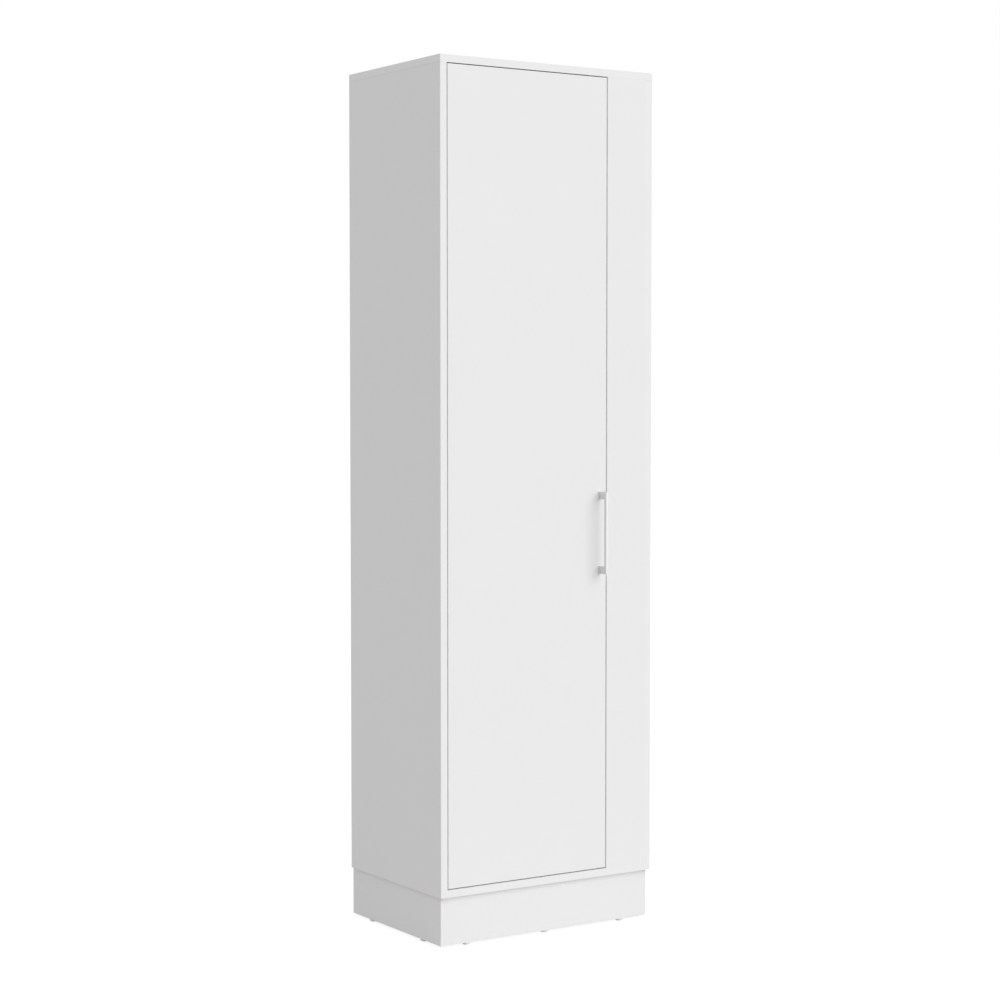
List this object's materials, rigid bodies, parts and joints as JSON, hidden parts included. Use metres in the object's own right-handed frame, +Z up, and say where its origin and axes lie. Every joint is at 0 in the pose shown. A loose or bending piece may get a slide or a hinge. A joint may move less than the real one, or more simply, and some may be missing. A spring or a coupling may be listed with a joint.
{
  "type": "broom cupboard",
  "caption": "Tall narrow white melamine broom cupboard on a plinth: one inset door with a bar handle beside a narrow fixed front, shelves and a broom bay inside.",
  "frame": {"origin": "floor level, in the middle of the overall box, handle included", "axes": "+Z up, +X to the right seen from the front, +Y from the front into the cupboard"},
  "size_m": [0.538, 0.4048, 1.84],
  "materials": {
    "melamine": "white melamine on chipboard, satin with a fine pearl texture",
    "hardboard": "white lacquered hardboard",
    "joining_strip": "white extruded plastic",
    "handle": "satin, silver",
    "nickel": "nickel-plated steel",
    "bumper": "soft translucent, matt",
    "glide_plastic": "white plastic"
  },
  "bodies": {
    "cabinet": {"back_joining_strip": "joining_strip", "back_panel_lower": "hardboard", "back_panel_upper": "hardboard", "bottom_panel": "melamine", "door_bumpers": "bumper", "front_panel_fixed": "melamine", "hat_shelf": "melamine", "hinge_arm_1": "nickel", "hinge_arm_2": "nickel", "hinge_arm_3": "nickel", "hinge_arm_4": "nickel", "hinge_plate_1": "nickel", "hinge_plate_2": "nickel", "hinge_plate_3": "nickel", "hinge_plate_4": "nickel", "nail_glides": "glide_plastic", "partition": "melamine", "plinth_back": "melamine", "plinth_centre_rail": "melamine", "plinth_front": "melamine", "plinth_side_left": "melamine", "plinth_side_right": "melamine", "shelf_1": "melamine", "shelf_2": "melamine", "shelf_3": "melamine", "shelf_supports": "nickel", "side_panel_left": "melamine", "side_panel_right": "melamine", "stop_batten": "melamine", "tool_hook_1": "nickel", "tool_hook_2": "nickel", "tool_hook_3": "nickel", "tool_rail": "melamine", "top_panel": "melamine", "wall_rail": "melamine"},
    "door": {"door_panel": "melamine", "handle_bar": "handle", "handle_post_lower": "handle", "handle_post_upper": "handle", "hinge_cup_1": "nickel", "hinge_cup_2": "nickel", "hinge_cup_3": "nickel", "hinge_cup_4": "nickel"}
  },
  "joints": [
    {"name": "door_hinge", "type": "hinge", "parent": "cabinet", "child": "door", "pos_m": [-0.242, -0.1676, 0.9735], "axis": [0, 0, -1], "range_deg": [0, 95]}
  ]
}
